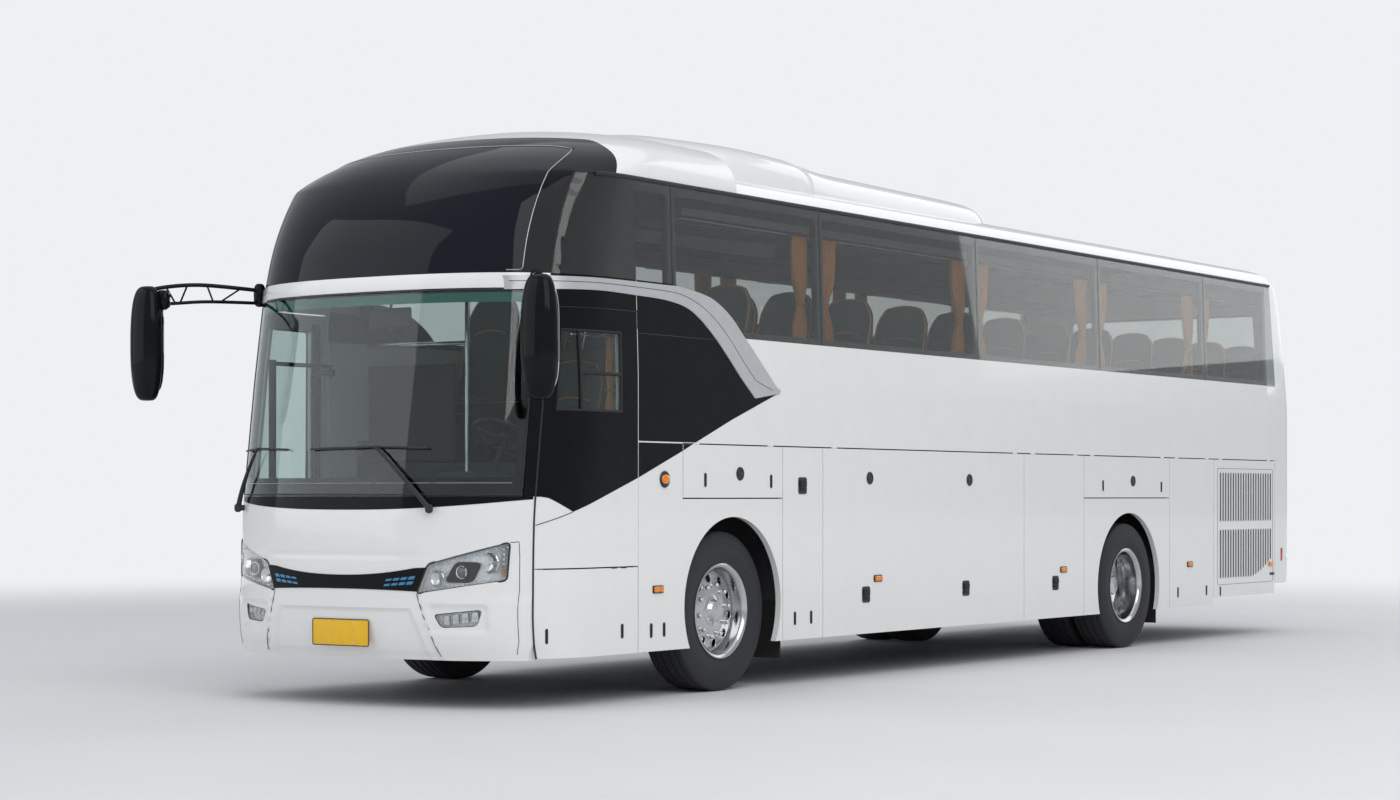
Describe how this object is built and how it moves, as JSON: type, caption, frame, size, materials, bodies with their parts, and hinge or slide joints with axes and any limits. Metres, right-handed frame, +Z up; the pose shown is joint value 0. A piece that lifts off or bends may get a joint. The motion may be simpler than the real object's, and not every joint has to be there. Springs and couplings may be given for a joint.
{
  "type": "coach bus",
  "caption": "Full-size touring coach with hollow glazed cabin, steered front wheels, twin rear wheels, hinged luggage and service doors and a swing-out entrance door.",
  "frame": {"origin": "on the ground at the centre of the bounding box", "axes": "+Y towards the rear of the coach, +X towards its left side, +Z up"},
  "size_m": [3.1, 12.2437, 3.64],
  "materials": {
    "body_white": "gloss",
    "black_panel": "gloss",
    "tinted_glass": "gloss",
    "clear_glass": "gloss",
    "frame_steel": "satin",
    "deck": "matte",
    "trim_plastic": "matte",
    "seat_fabric": "woven",
    "tyre_rubber": "matte",
    "alloy": "polished",
    "lamp_glass": "gloss",
    "lamp_red": "gloss",
    "cast_metal": "rough",
    "rubber_black": "matte"
  },
  "bodies": {
    "coach_body": {"front_frame": "frame_steel", "luggage_bay": "frame_steel", "rear_frame": "frame_steel", "cabin_floor": "deck", "side_walls": "body_white", "roof": "body_white", "front_roof": "body_white", "cap_frame": "black_panel", "cab_sides": "body_white", "front_bumper": "body_white", "front_mask": "body_white", "front_band": "body_white", "windscreen": "clear_glass", "front_cap": "black_panel", "side_glass": "tinted_glass", "rear_wall": "body_white", "rear_window": "tinted_glass", "rear_bumper": "body_white", "skirts": "body_white", "air_conditioner": "body_white", "mirrors": "black_panel", "wipers": "trim_plastic", "front_lamps": "lamp_glass", "rear_lamps": "lamp_red", "dashboard": "trim_plastic", "seat_cushions": "seat_fabric", "seat_backs": "seat_fabric", "luggage_racks": "trim_plastic", "engine": "cast_metal", "front_axle": "cast_metal", "rear_axle": "cast_metal", "mud_flaps": "rubber_black"},
    "driver_hatch": {"driver_hatch": "body_white"},
    "front_flap": {"front_flap": "body_white"},
    "service_door": {"service_door": "body_white"},
    "luggage_door_left": {"luggage_door_left": "body_white"},
    "locker_door": {"locker_door": "body_white"},
    "rear_flap": {"rear_flap": "body_white"},
    "battery_door": {"battery_door": "body_white"},
    "radiator_door": {"radiator_door": "body_white"},
    "luggage_door_right": {"luggage_door_right": "body_white"},
    "engine_door": {"engine_door": "body_white"},
    "door_arm": {"door_arm": "cast_metal"},
    "passenger_door": {"passenger_door": "body_white", "door_glass": "clear_glass"},
    "steering_wheel": {"steering_wheel": "trim_plastic"},
    "knuckle_left": {"knuckle_left": "cast_metal"},
    "knuckle_right": {"knuckle_right": "cast_metal"},
    "front_left_wheel": {"front_left_tyre": "tyre_rubber", "front_left_rim": "alloy"},
    "front_right_wheel": {"front_right_tyre": "tyre_rubber", "front_right_rim": "alloy"},
    "rear_left_wheel": {"rear_left_tyres": "tyre_rubber", "rear_left_rims": "alloy"},
    "rear_right_wheel": {"rear_right_tyres": "tyre_rubber", "rear_right_rims": "alloy"}
  },
  "joints": [
    {"name": "driver_hatch_hinge", "type": "hinge", "parent": "coach_body", "child": "driver_hatch", "pos_m": [1.275, -5.02, 0.825], "axis": [0, -1, 0], "range_deg": [0, 78]},
    {"name": "front_flap_hinge", "type": "hinge", "parent": "coach_body", "child": "front_flap", "pos_m": [1.275, -3.525, 1.581], "axis": [0, -1, 0], "range_deg": [0, 78]},
    {"name": "service_door_hinge", "type": "hinge", "parent": "coach_body", "child": "service_door", "pos_m": [1.2762, -2.94, 0.9425], "axis": [0, 0, -1], "range_deg": [0, 90]},
    {"name": "luggage_door_left_hinge", "type": "hinge", "parent": "coach_body", "child": "luggage_door_left", "pos_m": [1.275, -0.942, 1.581], "axis": [0, -1, 0], "range_deg": [0, 78]},
    {"name": "locker_door_hinge", "type": "hinge", "parent": "coach_body", "child": "locker_door", "pos_m": [1.275, 1.071, 1.581], "axis": [0, -1, 0], "range_deg": [0, 78]},
    {"name": "rear_flap_hinge", "type": "hinge", "parent": "coach_body", "child": "rear_flap", "pos_m": [1.275, 2.426, 1.581], "axis": [0, -1, 0], "range_deg": [0, 78]},
    {"name": "battery_door_hinge", "type": "hinge", "parent": "coach_body", "child": "battery_door", "pos_m": [1.275, 3.727, 1.581], "axis": [0, -1, 0], "range_deg": [0, 78]},
    {"name": "radiator_door_hinge", "type": "hinge", "parent": "coach_body", "child": "radiator_door", "pos_m": [1.275, 4.9075, 1.581], "axis": [0, -1, 0], "range_deg": [0, 78]},
    {"name": "luggage_door_right_hinge", "type": "hinge", "parent": "coach_body", "child": "luggage_door_right", "pos_m": [-1.275, -0.942, 1.581], "axis": [0, 1, 0], "range_deg": [0, 78]},
    {"name": "engine_door_hinge", "type": "hinge", "parent": "coach_body", "child": "engine_door", "pos_m": [0, 6.125, 1.581], "axis": [1, 0, 0], "range_deg": [0, 80]},
    {"name": "door_arm_pivot", "type": "hinge", "parent": "coach_body", "child": "door_arm", "pos_m": [-1.095, -5.275, 1.4], "axis": [0, 0, 1], "range_deg": [0, 110]},
    {"name": "passenger_door_pivot", "type": "hinge", "parent": "door_arm", "child": "passenger_door", "pos_m": [-1.095, -4.725, 1.4], "axis": [0, 0, 1], "range_deg": [-110, 0]},
    {"name": "knuckle_left_steer", "type": "hinge", "parent": "coach_body", "child": "knuckle_left", "pos_m": [0.87, -3.55, 0.515], "axis": [0, 0, 1], "range_deg": [-38, 38]},
    {"name": "knuckle_right_steer", "type": "hinge", "parent": "coach_body", "child": "knuckle_right", "pos_m": [-0.87, -3.55, 0.515], "axis": [0, 0, 1], "range_deg": [-38, 38]},
    {"name": "steering_wheel_turn", "type": "hinge", "parent": "coach_body", "child": "steering_wheel", "pos_m": [0.62, -5.055, 1.6], "axis": [0, 0.5299, 0.848], "range_deg": [-610, 610]},
    {"name": "front_left_wheel_spin", "type": "hinge", "parent": "knuckle_left", "child": "front_left_wheel", "pos_m": [1.052, -3.55, 0.515], "axis": [1, 0, 0], "continuous": true},
    {"name": "rear_left_wheel_spin", "type": "hinge", "parent": "coach_body", "child": "rear_left_wheel", "pos_m": [0.94, 2.45, 0.515], "axis": [1, 0, 0], "continuous": true},
    {"name": "front_right_wheel_spin", "type": "hinge", "parent": "knuckle_right", "child": "front_right_wheel", "pos_m": [-1.052, -3.55, 0.515], "axis": [1, 0, 0], "continuous": true},
    {"name": "rear_right_wheel_spin", "type": "hinge", "parent": "coach_body", "child": "rear_right_wheel", "pos_m": [-0.94, 2.45, 0.515], "axis": [1, 0, 0], "continuous": true}
  ],
  "couplings": [
    {"joint": "knuckle_right_steer", "follows": "knuckle_left_steer", "ratio": 1},
    {"joint": "steering_wheel_turn", "follows": "knuckle_left_steer", "ratio": 16},
    {"joint": "passenger_door_pivot", "follows": "door_arm_pivot", "ratio": -1}
  ]
}
